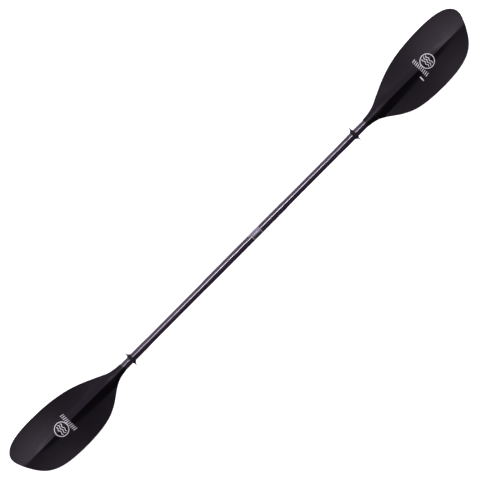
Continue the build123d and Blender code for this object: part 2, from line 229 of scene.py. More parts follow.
def face_height(s, y, half_width, gap, face):
    """The height of the power face (face 1) or of the back (face -1), gap being the distance
    from the outline."""
    inset = np.clip(gap / HALF_THICKNESS, 0, 1)
    rim = np.sqrt(1 - (1 - inset) ** 2)
    if face > 0:
        rise = bump(s, y, half_width, RIDGE_END, RIDGE_FADE_POWER, 1.0)
    else:
        rise = bump(s, y, half_width, SPINE_END, SPINE_FADE_POWER, 0.0)
    return plate(s, y) + face * (HALF_THICKNESS * rim + rise)


edge_tree = KDTree(len(upper_line) + len(lower_line))
for number, point in enumerate([*upper_line, *lower_line]):
    edge_tree.insert((point[0], point[1], 0), number)
edge_tree.balance()


def edge_distance(s, y):
    """How far a place on a blade is from its outline."""
    return edge_tree.find((s, y, 0))[2]


# ---- Mesh helpers ----

WELD = 1e-7  # metres


def linked(name, data):
    """A new object, put in the scene."""
    obj = bpy.data.objects.new(name, data)
    bpy.context.scene.collection.objects.link(obj)
    return obj


def mesh_from(bm, name):
    """A mesh with a bmesh's shape. The bmesh is freed."""
    mesh = bpy.data.meshes.new(name)
    bm.to_mesh(mesh)
    bm.free()
    return mesh


def new_mesh(name, points, faces):
    """A smooth mesh object from points in millimetres."""
    mesh = bpy.data.meshes.new(name)
    mesh.from_pydata([tuple(np.array(p) * MM) for p in points], [], faces)
    mesh.validate()
    bm = bmesh.new()
    bm.from_mesh(mesh)
    bmesh.ops.remove_doubles(bm, verts=bm.verts, dist=WELD)
    bmesh.ops.recalc_face_normals(bm, faces=bm.faces)
    bm.to_mesh(mesh)
    bm.free()
    for polygon in mesh.polygons:
        polygon.use_smooth = True
    return linked(name, mesh)


def loops_mesh(name, loops, closed=False):
    """A skin over closed loops with the same number of points, capped unless it closes itself."""
    count, size = len(loops), len(loops[0])
    points = [p for loop in loops for p in loop]
    faces = []
    for i in range(count if closed else count - 1):
        a, b = i * size, (i + 1) % count * size
        for j in range(size):
            k = (j + 1) % size
            faces.append((a + j, a + k, b + k, b + j))
    if not closed:
        faces += [tuple(range(size)), tuple(range((count - 1) * size, count * size))]
    return new_mesh(name, points, faces)


def ring_loop(x, radius_y, radius_z=None, segments=128):
    """A round or oval loop across the shaft at x, from +Y towards +Z."""
    rz = radius_y if radius_z is None else radius_z
    turns = [2 * pi * i / segments for i in range(segments)]
    return [(x, radius_y * cos(t), rz * sin(t)) for t in turns]


def lathe(name, profile):
    """A closed profile of (x, radius) turned about the shaft."""
    return loops_mesh(name, [ring_loop(x, r) for x, r in profile], closed=True)


def rounded(points, radius, steps=4):
    """A closed profile with its corners cut back by small arcs."""
    profile, n = [], len(points)
    for i in range(n):
        before, here, after = (Vector((*points[j % n], 0)) for j in (i - 1, i, i + 1))
        a, b = before - here, after - here
        reach = min(radius, a.length * 0.45, b.length * 0.45)
        start, end = here + a.normalized() * reach, here + b.normalized() * reach
        for k in range(steps + 1):
            u = k / steps
            corner = (1 - u) ** 2 * start + 2 * u * (1 - u) * here + u * u * end
            profile.append(corner[:2])
    return profile


# ---- Blades ----

FIRST_ROW = 0.6  # from the socket's mouth
ROW_STEP = 3.0
TIP_REACH = 12.0  # where the rows start to crowd towards the tip
TIP_ROWS = 18
LAST_ROW = 0.004  # from the tip
ACROSS = 64  # steps from the crest to an edge
CREST_MARGIN = 0.2  # the crest's least share of the width from either edge
CREST_CROWDING = 0.92  # how strongly the steps crowd at the crest and at the edge
LEAST_WIDTH = 1e-6  # keeps the rows at the very tip from dividing by zero


def blade_rows():
    """Distances from the tip of the blade's rows, closer together at the tip."""
    count = int((blade_length - TIP_REACH) / ROW_STEP)
    along = np.linspace(blade_length - FIRST_ROW, TIP_REACH, count)
    around_tip = [TIP_REACH * (1 - k / TIP_ROWS) ** 2 for k in range(1, TIP_ROWS)]
    return [*along, *around_tip, LAST_ROW]


def row_heights(s):
    """Heights of a row's points, from the lower edge over the crest to the upper edge."""
    low, high = height_on(lower_line, s), height_on(upper_line, s)
    margin = (high - low) * CREST_MARGIN
    middle = float(TIP_HEIGHT * (1 - ease(s / RIDGE_END)))
    middle = min(max(middle, low + margin), high - margin)
    spread = float(ease((blade_length - s) / THROAT_BLEND))
    v = np.linspace(0, 1, ACROSS + 1)
    socket_share = np.sin(pi / 2 * v)
    plate_share = v - CREST_CROWDING * np.sin(2 * pi * v) / (2 * pi)
    share = (1 - spread) * socket_share + spread * plate_share
    upper = middle + (high - middle) * share
    lower = middle + (low - middle) * share
    return np.concatenate([lower[::-1], upper[1:]])


def row_loop(s, hand):
    """The closed section of a blade at the distance s from its tip."""
    heights = row_heights(s)
    gap = np.array([edge_distance(s, y) for y in heights])
    width = np.where(heights > 0, abs(height_on(upper_line, s)), abs(height_on(lower_line, s)))
    width = np.maximum(width, LEAST_WIDTH)
    top = face_height(s, heights, width, gap, 1)
    under = face_height(s, heights, width, gap, -1)
    x = hand * (tip - s)
    over = [(x, y, z) for y, z in zip(heights, top)]
    back = [(x, y, z) for y, z in zip(heights[::-1], under[::-1])]
    return over + back[1:-1]


def blade(hand, name):
    """A whole blade with its socket, mirrored by hand."""
    rows = [row_loop(s, hand) for s in blade_rows()]
    turns = [atan2(z, y) for _, y, z in rows[0]]
    bore = shaft_radius + SLIDING_GAP
    socket = [
        (SOCKET_DEPTH, bore),
        (0, bore),
        (0, socket_radius - SOCKET_LIP_DROP),
        (SOCKET_LIP_EASING, socket_radius - SOCKET_LIP_EASING),
    ]
    lip = [[(hand * (mouth + x), r * cos(t), r * sin(t)) for t in turns] for x, r in socket]
    obj = loops_mesh(name, lip + rows)
    gaps = obj.data.attributes.new("edge_gap", "FLOAT", "POINT")
    for vertex, value in zip(obj.data.vertices, gaps.data):
        s = tip - abs(vertex.co.x) / MM
        value.value = edge_distance(s, vertex.co.y / MM) * MM
    return obj


def face_point(hand, x, y, lift):
    """A point on a blade's power face, lifted off it."""
    s = tip - x
    width = height_on(upper_line, s) if y > 0 else -height_on(lower_line, s)
    z = face_height(s, np.array(y), width, HALF_THICKNESS, 1)
    return (hand * x, y, float(z) + lift)


# ---- Prints on the blades: a plain ring of waves, slanted bars and a dash ----

PRINT_LIFT = 0.10
FILM_THICKNESS = 0.06
EMBLEM_X = 903.0
EMBLEM_RADIUS = 26.5
EMBLEM_LINE = 2.1
WAVE_OFFSETS = (-9, 0, 9)
WAVE_FIELD_RADIUS = 20.0
WAVE_HEIGHT = 2.2
WAVE_LENGTH = 17.0
WAVE_LINE = 2.2
BARS_X = 869.0
BAR_HEIGHT = 15.0
BAR_WIDTH = 1.8
BAR_PITCH = 7.4
BAR_COUNT = 10
BAR_SLANT = 3.0
DASH_PLACE = (846.0, -31.0)
DASH_HEIGHT = 3.2
DASH_WIDTH = 18.0


def ribbon(rows, hand):
    """Points and quads of a strip whose rows are lists of (x, y) on the power face."""
    size = len(rows[0])
    points = [face_point(hand, x, y, PRINT_LIFT) for row in rows for x, y in row]
    faces = [
        (a * size + b, a * size + b + 1, (a + 1) * size + b + 1, (a + 1) * size + b)
        for a in range(len(rows) - 1)
        for b in range(size - 1)
    ]
    return points, faces


def ring_band(cx, inner, outer, steps=96, across=4):
    """Rows of a flat ring about the blade's middle line."""
    rows = []
    for i in range(steps + 1):
        t = 2 * pi * i / steps
        radii = np.linspace(inner, outer, across)
        rows.append([(cx + r * cos(t), r * sin(t)) for r in radii])
    return rows


def wave_band(cx, offset, steps=40, across=3):
    """Rows of one wave that runs across the blade inside the emblem."""
    reach = sqrt(WAVE_FIELD_RADIUS**2 - offset * offset)
    line = np.linspace(-WAVE_LINE / 2, WAVE_LINE / 2, across)
    rows = []
    for i in range(steps + 1):
        y = -reach + 2 * reach * i / steps
        x = cx + offset + WAVE_HEIGHT * sin(2 * pi * y / WAVE_LENGTH)
        rows.append([(x + d, y) for d in line])
    return rows


def slanted_bar(cx, cy, height, width, slant, steps=6, across=4):
    """Rows of a bar that leans by the slant."""
    rows = []
    for i in range(steps + 1):
        u = i / steps - 0.5
        x, lean = cx + u * height, u * slant
        rows.append([(x, cy + lean + d) for d in np.linspace(-width / 2, width / 2, across)])
    return rows


def printed(name, strips, hand, body):
    """One thin printed piece from several strips, lying on a power face."""
    points, faces = [], []
    for rows in strips:
        more, quads = ribbon(rows, hand)
        faces += [tuple(len(points) + k for k in quad) for quad in quads]
        points += more
    obj = new_mesh(name, points, faces)
    for polygon in obj.data.polygons:
        if polygon.normal.z < 0:
            polygon.flip()
    thick = obj.modifiers.new("film", "SOLIDIFY")
    thick.thickness, thick.offset = FILM_THICKNESS * MM, -1
    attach(obj, body)
    return obj


def blade_prints(hand, body, side):
    """The prints on one blade: emblem and bars, and the dash on the right one."""
    rings = [ring_band(EMBLEM_X, EMBLEM_RADIUS - EMBLEM_LINE, EMBLEM_RADIUS)]
    rings += [wave_band(EMBLEM_X, offset) for offset in WAVE_OFFSETS]
    middle = (BAR_COUNT - 1) / 2
    bars = [
        slanted_bar(BARS_X, (i - middle) * BAR_PITCH, BAR_HEIGHT, BAR_WIDTH, BAR_SLANT)
        for i in range(BAR_COUNT)
    ]
    pieces = [printed(side + "_emblem", rings, hand, body), printed(side + "_bars", bars, hand, body)]
    if hand > 0:
        dash = [slanted_bar(*DASH_PLACE, DASH_HEIGHT, DASH_WIDTH, slant=0.0)]
        pieces.append(printed(side + "_dash", dash, hand, body))
    return pieces


# ---- Shaft tubes ----

SHAFT_WALL = 1.7
TUBE_EASING = 0.4  # how far the tube's ends are eased
TUBE_CHAMFER = 0.3  # inside its open end
TUBE_FIRST_STEP = 4.0
TUBE_STEP = 6.0
RIM_ANGLE = 30.0  # degrees: keeps the hole's rim crisp, with no shading drawn across it
GRIP_FLATTENING = 0.8
GRIP_INNER_END = 185.0
GRIP_TO_BLADE = 107.0
GRIP_BLEND = 25.0

tube_bore = shaft_radius - SHAFT_WALL
grip_outer_end = mouth - GRIP_TO_BLADE


def tube_half_width(x):
    """Half the tube's width across the blades' plane: less at the hand grips."""
    far = abs(x)
    inside = ease((far - GRIP_INNER_END) / GRIP_BLEND) * ease((grip_outer_end - far) / GRIP_BLEND)
    return shaft_radius - GRIP_FLATTENING * float(inside)


def tube(name, start, end):
    """A tube from the ferrule to the blade, with its open ends eased."""
    hand = 1 if end > start else -1
    length = abs(end - start)
    eased_end = [0.0, 0.3 * TUBE_EASING, TUBE_EASING]
    along = np.arange(TUBE_FIRST_STEP, length - 1, TUBE_STEP)
    places = [*eased_end, *along, length - TUBE_EASING, length]
    loops = []
    for place in places:
        x = start + hand * place
        eased = TUBE_EASING - min(place, TUBE_EASING)
        loops.append(ring_loop(x, tube_half_width(x) - eased, shaft_radius - eased))
    inside = (length, length / 2, TUBE_CHAMFER)
    loops += [ring_loop(start + hand * place, tube_bore) for place in inside]
    loops += [ring_loop(start, tube_bore + TUBE_CHAMFER)]
    return loops_mesh(name, loops, closed=True)


def cut_hole(obj, x, radius):
    """Drills the snap button's hole through the tube's back."""
    bm = bmesh.new()
    place = Matrix.Translation((x * MM, 0, -shaft_radius * MM))
    bmesh.ops.create_cone(bm, cap_ends=True, segments=64, radius1=radius * MM, radius2=radius * MM,
                          depth=shaft_radius * MM, matrix=place)
    drill = linked("drill", mesh_from(bm, "drill"))
    cut = obj.modifiers.new("hole", "BOOLEAN")
    cut.operation, cut.object, cut.solver = "DIFFERENCE", drill, "EXACT"
    depsgraph = bpy.context.evaluated_depsgraph_get()
    done = bpy.data.meshes.new_from_object(obj.evaluated_get(depsgraph))
    obj.modifiers.clear()
    done.set_sharp_from_angle(angle=radians(RIM_ANGLE))
    obj.data = done
    bpy.data.objects.remove(drill)


# ---- Ferrule ----

FLANGE_DEPTH = 2.55  # from the shaft's surface in to the seam ring's bore
END_RING_DEPTH = 2.0
RING_EASING = 0.25
COLLAR_BORE = 11.9
COLLAR_EASING = 0.2
LABEL_SEAT = 0.02  # how deep the film's bed is cut in the collar
LABEL_RISE = 0.06
MARK_RISE = 0.04
WRAP_DEPTH = 0.2
WRAP_EASING = 0.12


def turned_angles(node):
    """Where a node lies about the shaft, from +Z towards +Y, as its lowest and highest angle."""
    mesh = frame["nodes"][node].data
    angles = [degrees(atan2(v.co.y, v.co.z)) for v in mesh.vertices]
    return min(angles), max(angles)


def wrapped(name, ends, angles, radius, steps=40):
    """A thin film round the shaft between two places and two angles, as a closed piece."""
    start, end = ends
    under = radius - WRAP_DEPTH
    corners = [(start, radius), (end, radius), (end, under), (start, under)]
    section = rounded(corners, WRAP_EASING, steps=2)
    turns = np.radians(np.linspace(*angles, steps + 1))
    return loops_mesh(name, [[(x, r * sin(t), r * cos(t)) for x, r in section] for t in turns])


def joined(name, parts):
    """Several objects made into one."""
    bm = bmesh.new()
    for part in parts:
        bm.from_mesh(part.data)
    mesh = mesh_from(bm, name)
    for part in parts:
        bpy.data.objects.remove(part)
    return linked(name, mesh)


# ---- The feather scale's print ----

SCALE_RISE = 0.10  # above the collar
SCALE_STEP = 15  # degrees between ticks
SCALE_SIDE_STEPS = 3
SCALE_INSET = 1.0
LONG_TICK = 5.0
SHORT_TICK = 3.0
TICK_WIDTH = 0.5
NUMERAL_SIZE = 4.2
NUMERAL_INSET = 10.5
NUMERAL_WELD = 1e-4
SCALE_DASH_ROWS = (17.0, 19.0)
SCALE_DASHES = 9
SCALE_DASH_FIRST = 8.0  # degrees from the film's low edge
SCALE_DASH_STEP = 9.75
SCALE_DASH_SIZE = (0.8, 1.6)


def lay_on_shaft(obj, x, angle, turn=0.0):
    """Bends a flat piece, drawn in millimetres in XY, round the collar at x and the angle."""
    radius = collar_radius + SCALE_RISE
    spin = Matrix.Rotation(radians(turn), 4, "Z")
    for vertex in obj.data.vertices:
        p = spin @ vertex.co
        t = radians(angle) + p.y / radius
        r = radius + p.z
        vertex.co = (MM * (x + p.x), MM * r * sin(t), MM * r * cos(t))
    return obj


def tick(length, width):
    """A flat bar along X."""
    bm = bmesh.new()
    bmesh.ops.create_cube(bm, size=1)
    for v in bm.verts:
        v.co = (v.co.x * length, v.co.y * width, v.co.z * FILM_THICKNESS)
    return linked("tick", mesh_from(bm, "tick"))


def numeral(words):
    """Flat numerals as a mesh, in millimetres."""
    curve = bpy.data.curves.new("numerals", "FONT")
    curve.body, curve.size, curve.extrude = words, NUMERAL_SIZE, FILM_THICKNESS / 2
    curve.align_x, curve.align_y = "CENTER", "CENTER"
    curve.resolution_u = 4
    text = bpy.data.objects.new("numerals", curve)
    mesh = bpy.data.meshes.new_from_object(text)
    bpy.data.objects.remove(text)
    bm = bmesh.new()
    bm.from_mesh(mesh)
    bmesh.ops.remove_doubles(bm, verts=bm.verts, dist=NUMERAL_WELD)
    return linked("numerals", mesh_from(bm, "numerals"))


def feather_scale(start, low_angle, high_angle):
    """Ticks with every second one numbered, and two rows of plain dashes beside them."""
    middle = (low_angle + high_angle) / 2
    marks = []
    for step in range(-SCALE_SIDE_STEPS, SCALE_SIDE_STEPS + 1):
        angle = middle + SCALE_STEP * step
        numbered = step % 2 == 0
        length = LONG_TICK if numbered else SHORT_TICK
        line = tick(length, TICK_WIDTH)
        marks.append(lay_on_shaft(line, start + SCALE_INSET + length / 2, angle))
        if numbered:
            number = numeral(str(abs(SCALE_STEP * step)))
            marks.append(lay_on_shaft(number, start + NUMERAL_INSET, angle, turn=-90))
    for place in SCALE_DASH_ROWS:
        for step in range(SCALE_DASHES):
            angle = low_angle + SCALE_DASH_FIRST + SCALE_DASH_STEP * step
            marks.append(lay_on_shaft(tick(*SCALE_DASH_SIZE), start + place, angle))
    return joined("scale_print", marks)


# ---- The snap button: a steel strip that turns back in a bow, with a stud on its lower leg

STRIP_THICKNESS = 0.5
STRIP_WIDTH = 6.0
STRIP_ROUNDING = 0.12
STRIP_TAIL = 1.6  # what the strip reaches past the stud
LEG_STEPS = 48
BOW_STEPS = 40
STUD_RADIUS = 3.2
STUD_ROUNDING = 1.5
STUD_STEPS = 8
STUD_HOLE_RADIUS = 3.3

bow_x = bow_end - leg_height
leg_line = leg_height - STRIP_THICKNESS / 2
stud_x = button_start + STRIP_TAIL + STUD_RADIUS


def strip_loop(x, z, turn):
    """The strip's cross-section at a point of its path, with rounded edges."""
    r = STRIP_ROUNDING
    half_thickness, half_width = STRIP_THICKNESS / 2 - r, STRIP_WIDTH / 2 - r
    loop = []
    for quarter, (out, side) in enumerate([(1, 1), (-1, 1), (-1, -1), (1, -1)]):
        for step in range(4):
            angle = pi / 2 * quarter + pi / 6 * step
            across = out * half_thickness + r * cos(angle)
            y = side * half_width + r * sin(angle)
            loop.append((x + across * sin(turn), y, z - across * cos(turn)))
    return loop


def snap_spring():
    """The strip and its stud as one mesh."""
    reach = bow_x - button_start
    low_leg = [(button_start + reach * i / LEG_STEPS, -leg_line, 0.0) for i in range(LEG_STEPS)]
    turns = [pi * i / BOW_STEPS for i in range(BOW_STEPS + 1)]
    bow = [(bow_x + leg_line * sin(t), -leg_line * cos(t), t) for t in turns]
    high_leg = [(x, leg_line, pi) for x, _, _ in reversed(low_leg)]
    strip = loops_mesh("strip", [strip_loop(*point) for point in low_leg + bow + high_leg])
    shoulder_height = -stud_top - leg_line - STUD_ROUNDING
    profile = [(0.0, STUD_RADIUS), (shoulder_height, STUD_RADIUS)]
    for step in range(1, STUD_STEPS + 1):
        t = pi / 2 * step / STUD_STEPS
        rise, inset = STUD_ROUNDING * sin(t), STUD_ROUNDING * (1 - cos(t))
        profile.append((shoulder_height + rise, STUD_RADIUS - inset))
    stud = loops_mesh("stud", [ring_loop(x, r, segments=64) for x, r in profile])
    upright = Matrix.Rotation(pi / 2, 4, "Y")
    stud.data.transform(Matrix.Translation((stud_x * MM, 0, -leg_line * MM)) @ upright)
    return joined("snap_spring", [strip, stud])


# ---- Drip rings ----

LIP_TO_END = 4.0
LIP_HALF = 0.8  # half the lip's thickness, and the radius of its edge
LIP_SWEEP = 1.3  # radians of the lip's edge on each side
HUB_WALL = 2.4
HUB_EASING = 0.2


def drip_ring(name, node, body, hand):
    """A rubber ring: a thin lip with hollow flanks on a short hub."""
    low, high = span(node)
    inner, outer = (low, high) if hand > 0 else (high, low)
    lip_x = outer - hand * LIP_TO_END
    rim = span(node, 2)[1] - LIP_HALF
    bore, hub = shaft_radius + SLIDING_GAP, shaft_radius + HUB_WALL
    inner_flank = spline(
        [(inner + hand * 0.9, hub), (lip_x - hand * 4.4, hub + 2.6), (lip_x - hand * LIP_HALF, rim)],
        (hand, 0.12), (hand * 0.12, 1), 14)
    outer_flank = spline(
        [(lip_x + hand * LIP_HALF, rim), (lip_x + hand * 1.9, hub + 3.4), (outer - hand * 0.5, hub)],
        (hand * 0.12, -1), (hand, -0.3), 14)
    turns = np.linspace(-LIP_SWEEP, LIP_SWEEP, 7)
    lip = [(lip_x + hand * LIP_HALF * sin(t), rim + LIP_HALF * cos(t)) for t in turns]
    inner_end = [
        (inner + hand * HUB_EASING, bore), (inner, bore + HUB_EASING), (inner, hub - 1.0),
        (inner + hand * 0.15, hub - 0.6), (inner + hand * 0.3, hub - 0.15),
    ]
    outer_end = [
        (outer, hub - 0.5), (outer, bore + HUB_EASING), (outer - hand * HUB_EASING, bore),
    ]
    profile = [*inner_end, *inner_flank[:-1], *lip, *outer_flank[1:], *outer_end]
    obj = paint(lathe(name, profile), drip_rubber)
    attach(obj, body)
    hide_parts(node)


# ---- Materials ----

SHADER_SOCKETS = {
    "colour": "Base Color", "rough": "Roughness", "metal": "Metallic",
    "specular": "Specular IOR Level", "tint": "Specular Tint",
    "coat": "Coat Weight", "coat_rough": "Coat Roughness",
}
BLADE_TOW = 2.4
SHAFT_TOW = 3.0
TOWS_ROUND_SHAFT = 30
DARK_RIM = 3.2  # how far in from a blade's edge the colour is darkened
SCUFFED_RIM = 9.0
COAT_IOR = 1.6
SHEEN_TINT = (0.96, 0.84, 1.0)


class Nodes:
    """A material's node tree, with short calls for the nodes that repeat."""

    def __init__(self, name):
        self.material = bpy.data.materials.new(name)
        self.material.use_nodes = True
        self.tree = self.material.node_tree
        self.shader = self.tree.nodes["Principled BSDF"]

    def node(self, kind, **settings):
        made = self.tree.nodes.new(kind)
        for key, value in settings.items():
            setattr(made, key, value)
        return made

    def put(self, value, socket):
        """Links an output to a socket, or sets the socket to a number or a colour."""
        if isinstance(value, bpy.types.NodeSocket):
            self.tree.links.new(value, socket)
        else:
            socket.default_value = value

    def math(self, operation, a, b=0.0):
        made = self.node("ShaderNodeMath", operation=operation)
        self.put(a, made.inputs[0])
        self.put(b, made.inputs[1])
        return made.outputs[0]

    def place(self):
        """The place on the object at rest, in metres."""
        return self.node("ShaderNodeTexCoord").outputs["Object"]

    def axes(self):
        """The same place as x, y and z."""
        split = self.node("ShaderNodeSeparateXYZ")
        self.put(self.place(), split.inputs[0])
        return split.outputs

    def noise(self, scale, detail=4.0, rough=0.55, stretch=None):
        made = self.node("ShaderNodeTexNoise")
        made.inputs["Scale"].default_value = scale
        made.inputs["Detail"].default_value = detail
        made.inputs["Roughness"].default_value = rough
        source = self.place()
        if stretch:
            mapping = self.node("ShaderNodeMapping")
            mapping.inputs["Scale"].default_value = stretch
            self.put(source, mapping.inputs[0])
            source = mapping.outputs[0]
        self.put(source, made.inputs["Vector"])
        return made.outputs["Fac"]

    def mix(self, share, a, b):
        """The colour a, going over to b as the share goes from 0 to 1."""
        made = self.node("ShaderNodeMix", data_type="RGBA")
        self.put(share, made.inputs[0])
        self.put(a if isinstance(a, bpy.types.NodeSocket) else (*a, 1.0), made.inputs[6])
        self.put(b if isinstance(b, bpy.types.NodeSocket) else (*b, 1.0), made.inputs[7])
        return made.outputs[2]

    def span(self, value, low, high, to_low=0.0, to_high=1.0):
        """The value between low and high, brought to between to_low and to_high."""
        made = self.node("ShaderNodeMapRange")
        self.put(value, made.inputs[0])
        for socket, number in zip(made.inputs[1:5], (low, high, to_low, to_high)):
            socket.default_value = number
        return made.outputs[0]

    def bump(self, height, distance, strength):
        made = self.node("ShaderNodeBump")
        made.inputs["Strength"].default_value = strength
        made.inputs["Distance"].default_value = distance * MM
        self.put(height, made.inputs["Height"])
        self.put(made.outputs[0], self.shader.inputs["Normal"])

    def set(self, **values):
        """Sets or links the shader's own sockets, and gives back the material."""
        for key, value in values.items():
            if isinstance(value, tuple):
                value = (*value, 1.0)
            self.put(value, self.shader.inputs[SHADER_SOCKETS[key]])
        return self.material


def twill(n, u, v):
    """A two-by-two twill weave over u and v, counted in tows: which tow is up, and its height."""
    column, row = n.math("FLOOR", u), n.math("FLOOR", v)
    step = n.math("FLOORED_MODULO", n.math("ADD", column, row), 4.0)
    warp_up = n.math("LESS_THAN", step, 1.5)
    across_warp = n.math("PINGPONG", n.math("FRACT", u), 0.5)
    across_weft = n.math("PINGPONG", n.math("FRACT", v), 0.5)
    warp = n.math("MULTIPLY", n.math("POWER", across_warp, 0.5), warp_up)
    weft_up = n.math("SUBTRACT", 1.0, warp_up)
    weft = n.math("MULTIPLY", n.math("POWER", across_weft, 0.5), weft_up)
    return warp_up, n.math("ADD", warp, weft)


def carbon(name, dark, light, rough, coat, coat_rough, specular, round_shaft):
    """Woven carbon under a clear finish, laid flat on the blades or wrapped round the shaft."""
    n = Nodes(name)
    x, y, z = n.axes()
    if round_shaft:
        around = n.math("MULTIPLY", n.math("ARCTAN2", y, z), TOWS_ROUND_SHAFT / (2 * pi))
        along = n.math("DIVIDE", x, SHAFT_TOW * MM)
        u, v = n.math("ADD", along, around), n.math("SUBTRACT", along, around)
    else:
        u, v = n.math("DIVIDE", x, BLADE_TOW * MM), n.math("DIVIDE", y, BLADE_TOW * MM)
    warp_up, height = twill(n, u, v)
    patches = n.noise(28.0, 3.0)
    fibres = n.noise(90.0, 2.0, stretch=(1.0, 14.0, 14.0))
    share = n.math("ADD", n.math("MULTIPLY", warp_up, 0.45), n.math("MULTIPLY", patches, 0.35))
    share = n.math("ADD", share, n.math("MULTIPLY", fibres, 0.25))
    colour = n.mix(share, dark, light)
    scuffs = n.span(n.noise(240.0, 6.0, 0.7, stretch=(0.3, 1.0, 1.0)), 0.66, 0.74)
    if not round_shaft:
        gap = n.node("ShaderNodeAttribute", attribute_name="edge_gap").outputs["Fac"]
        # the colour darkens towards the blade's outline, within DARK_RIM of it
        rim = n.span(gap, 0.0, DARK_RIM * MM, 1.0, 0.0)
        colour = n.mix(n.math("MULTIPLY", rim, 0.75), colour, (0.004, 0.004, 0.005))
        scuffs = n.math("MULTIPLY", scuffs, n.span(gap, 0.0, SCUFFED_RIM * MM, 1.0, 0.12))
    colour = n.mix(n.math("MULTIPLY", scuffs, 0.12), colour, (0.16, 0.15, 0.16))
    wear = n.math("MULTIPLY", n.noise(36.0, 5.0), 0.16)
    roughness = n.math("ADD", n.math("ADD", rough - 0.08, wear), n.math("MULTIPLY", scuffs, 0.2))
    n.bump(height, 0.05, 0.55)
    n.shader.inputs["Coat IOR"].default_value = COAT_IOR
    return n.set(colour=colour, rough=roughness, coat=coat, coat_rough=coat_rough,
                 tint=SHEEN_TINT, specular=specular)


def moulded(name, dark, light, rough, specular=0.5):
    """Moulded plastic or rubber: a fine grain, faint cloudiness, dust and uneven gloss."""
    n = Nodes(name)
    cloud = n.noise(60.0, 4.0)
    grain = n.noise(900.0, 3.0)
    dust = n.span(n.noise(420.0, 5.0, 0.7), 0.6, 0.75, 0.0, 0.35)
    dusty = tuple(min(c * 1.8 + 0.02, 1) for c in light)
    colour = n.mix(n.math("MULTIPLY", dust, 0.25), n.mix(cloud, dark, light), dusty)
    n.bump(grain, 0.03, 0.6)
    roughness = n.math("ADD", rough - 0.07, n.math("MULTIPLY", n.noise(150.0, 4.0), 0.14))
    return n.set(colour=colour, rough=roughness, specular=specular)


def ink(name, colour_a, colour_b, rough, coat=0.0):
    """Screen print: dense, mottled a little and with pinholes."""
    n = Nodes(name)
    mottled = n.noise(700.0, 4.0)
    holes = n.span(n.noise(1600.0, 2.0), 0.7, 0.78)
    pinhole = tuple(c * 0.4 for c in colour_a)
    colour = n.mix(n.math("MULTIPLY", holes, 0.5), n.mix(mottled, colour_a, colour_b), pinhole)
    n.bump(mottled, 0.01, 0.4)
    spread = n.span(mottled, 0.3, 0.7, rough - 0.06, rough + 0.06)
    return n.set(colour=colour, rough=spread, coat=coat, coat_rough=0.16)


def steel(name):
    """Brushed spring steel."""
    n = Nodes(name)
    brushed = n.noise(900.0, 3.0, stretch=(0.05, 1.0, 1.0))
    colour = n.mix(brushed, (0.42, 0.42, 0.44), (0.62, 0.62, 0.64))
    n.bump(brushed, 0.01, 0.5)
    return n.set(colour=colour, rough=n.span(brushed, 0.2, 0.8, 0.22, 0.42), metal=1.0)


def foam(name):
    """Closed-cell foam: small cells and a chalky skin."""
    n = Nodes(name)
    cells = n.node("ShaderNodeTexVoronoi")
    cells.inputs["Scale"].default_value = 700.0
    n.put(n.place(), cells.inputs["Vector"])
    distance = cells.outputs["Distance"]
    # the cells are the foam's own pattern; their darker middles, where the bump sinks them, are
    # painted shade
    colour = n.mix(distance, (0.55, 0.54, 0.50), (0.78, 0.77, 0.73))
    n.bump(distance, 0.25, 0.8)
    return n.set(colour=colour, rough=n.span(distance, 0.0, 0.8, 0.78, 0.95))


blade_carbon = carbon(
    "blade_carbon", (0.0005, 0.0004, 0.0006), (0.0019, 0.0015, 0.0022),
    rough=0.42, coat=0.0, coat_rough=0.30, specular=0.20, round_shaft=False)
shaft_carbon = carbon(
    "shaft_carbon", (0.0052, 0.0028, 0.0070), (0.0270, 0.0165, 0.0330),
    rough=0.36, coat=0.9, coat_rough=0.10, specular=0.08, round_shaft=True)
drip_rubber = moulded(
    "drip_rubber", (0.003, 0.0025, 0.004), (0.008, 0.0065, 0.011), 0.62, specular=0.15)
black_plastic = moulded("black_plastic", (0.010, 0.009, 0.012), (0.024, 0.021, 0.028), 0.42)
grey_plastic = moulded("grey_plastic", (0.34, 0.32, 0.37), (0.47, 0.44, 0.50), 0.40)
light_print = ink("light_print", (0.40, 0.39, 0.42), (0.52, 0.51, 0.54), 0.45)
label_film = ink("label_film", (0.080, 0.070, 0.096), (0.130, 0.112, 0.148), 0.40, coat=0.8)
scale_ink = ink("scale_ink", (0.020, 0.018, 0.024), (0.045, 0.040, 0.052), 0.40)
spring_steel = steel("spring_steel")
plug_foam = foam("plug_foam")


def paint(obj, material):
    """Gives the whole object one material."""
    obj.data.materials.clear()
    obj.data.materials.append(material)
    return obj


# ---- The pieces ----

for side, hand in (("left", -1), ("right", 1)):
    body = side + "_half"
    skin = paint(blade(hand, side + "_blade_skin"), blade_carbon)
    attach(skin, body)
    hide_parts(side + "_blade")
    for piece in blade_prints(hand, body, side):
        paint(piece, light_print)

left_tube = tube("left_tube_skin", seam, -tube_end)
cut_hole(left_tube, stud_x, STUD_HOLE_RADIUS)
paint(left_tube, shaft_carbon)
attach(left_tube, "left_half")
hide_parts("left_shaft_tube")

right_tube = paint(tube("right_tube_skin", right_tube_start, tube_end), shaft_carbon)
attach(right_tube, "right_half")
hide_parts("right_shaft_tube")

drip_ring("left_drip_ring_skin", "left_drip_ring", "left_ring", -1)
drip_ring("right_drip_ring_skin", "right_drip_ring", "right_ring", 1)


def thin_ring(name, node, body, depth):
    """A thin pale ring round the ferrule, with eased edges."""
    low, high = span(node)
    inner, outer = shaft_radius - depth, span(node, 2)[1]
    profile = rounded([(low, inner), (low, outer), (high, outer), (high, inner)], RING_EASING)
    obj = paint(lathe(name, profile), grey_plastic)
    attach(obj, body)
    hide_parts(node)


thin_ring("seam_ring_skin", "spigot_flange", "spigot", FLANGE_DEPTH)
thin_ring("end_ring_skin", "collar_end_ring", "right_half", END_RING_DEPTH)

